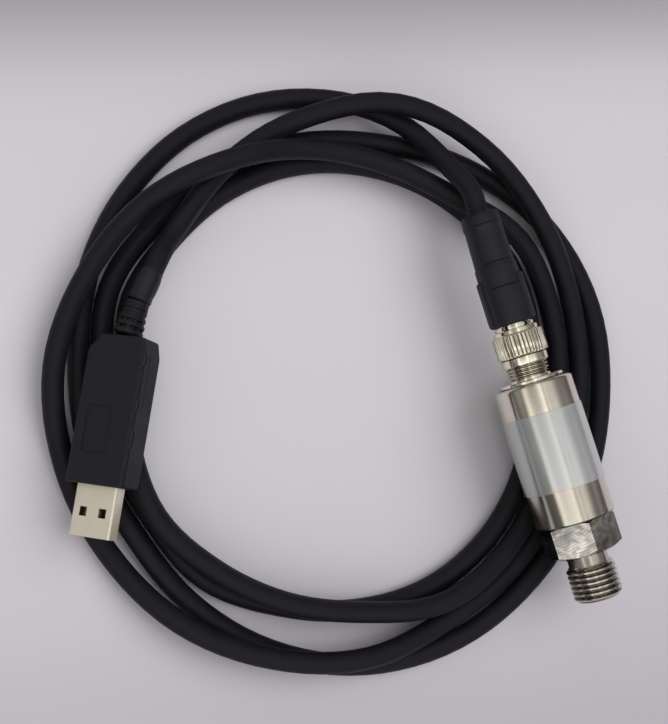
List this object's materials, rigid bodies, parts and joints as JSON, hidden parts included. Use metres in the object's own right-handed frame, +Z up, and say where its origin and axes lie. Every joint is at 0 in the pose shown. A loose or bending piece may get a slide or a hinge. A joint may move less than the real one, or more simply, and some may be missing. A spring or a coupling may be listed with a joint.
{
  "type": "pressure sensor",
  "caption": "Stainless steel pressure sensor with a threaded process port, hexagon, screw-on round cable connector and coiled cable ending in a USB plug.",
  "frame": {"origin": "on the sensor's axis, midway between the end of the process thread and the end of the cable boot", "axes": "+Y along the sensor's axis towards its cable, +Z up from the surface that it lies on"},
  "size_m": [0.1675, 0.1679, 0.0291],
  "materials": {
    "machined_steel": "turned and milled stainless steel, bright",
    "brushed_steel": "fine circular brushing",
    "header_steel": "turned stainless steel",
    "cell_ceramic": null,
    "label_film": "silvery label film, satin, bare",
    "board_green": "glass-epoxy circuit board",
    "chip_black": "moulded epoxy",
    "nickel": "nickel-plated brass, warm grey",
    "insert_black": "moulded polyamide",
    "contact_gold": "gold plated",
    "seal_rubber": "nitrile rubber",
    "boot_black": "overmoulded polyurethane, satin black",
    "cable_black": "extruded jacket, matte black",
    "shrink_black": "heat-shrink tube, satin",
    "housing_grey": "moulded, fine texture, dark grey",
    "usb_shell": "nickel-plated sheet, pale warm grey",
    "tongue_white": "moulded thermoplastic"
  },
  "bodies": {
    "root": {"process_fitting": "machined_steel", "sensor_diaphragm": "cell_ceramic", "sensor_header": "header_steel", "housing_tube": "brushed_steel", "identification_label": "label_film", "circuit_board": "board_green", "amplifier_chip": "chip_black", "connector_base": "nickel", "seal_ring": "seal_rubber", "receptacle_insert": "insert_black", "receptacle_pin_1": "contact_gold", "receptacle_pin_2": "contact_gold", "receptacle_pin_3": "contact_gold", "receptacle_pin_4": "contact_gold", "plug_carrier": "insert_black", "plug_contact_1": "contact_gold", "plug_contact_2": "contact_gold", "plug_contact_3": "contact_gold", "plug_contact_4": "contact_gold", "plug_seal": "seal_rubber", "nut_retaining_collar": "nickel", "connector_boot": "boot_black", "cord": "cable_black", "heat_shrink_sleeve": "shrink_black", "strain_relief": "boot_black", "usb_housing_upper": "housing_grey", "usb_housing_lower": "housing_grey", "usb_circuit_board": "board_green", "usb_converter_chip": "chip_black", "usb_shell": "usb_shell", "usb_tongue": "tongue_white", "usb_contact_1": "contact_gold", "usb_contact_2": "contact_gold", "usb_contact_3": "contact_gold", "usb_contact_4": "contact_gold"},
    "nut": {"coupling_nut": "nickel"}
  },
  "joints": [
    {"name": "coupling_nut_turn", "type": "hinge", "parent": "root", "child": "nut", "pos_m": [0, 0.01775, 0], "axis": [0, 1, 0], "continuous": true}
  ]
}
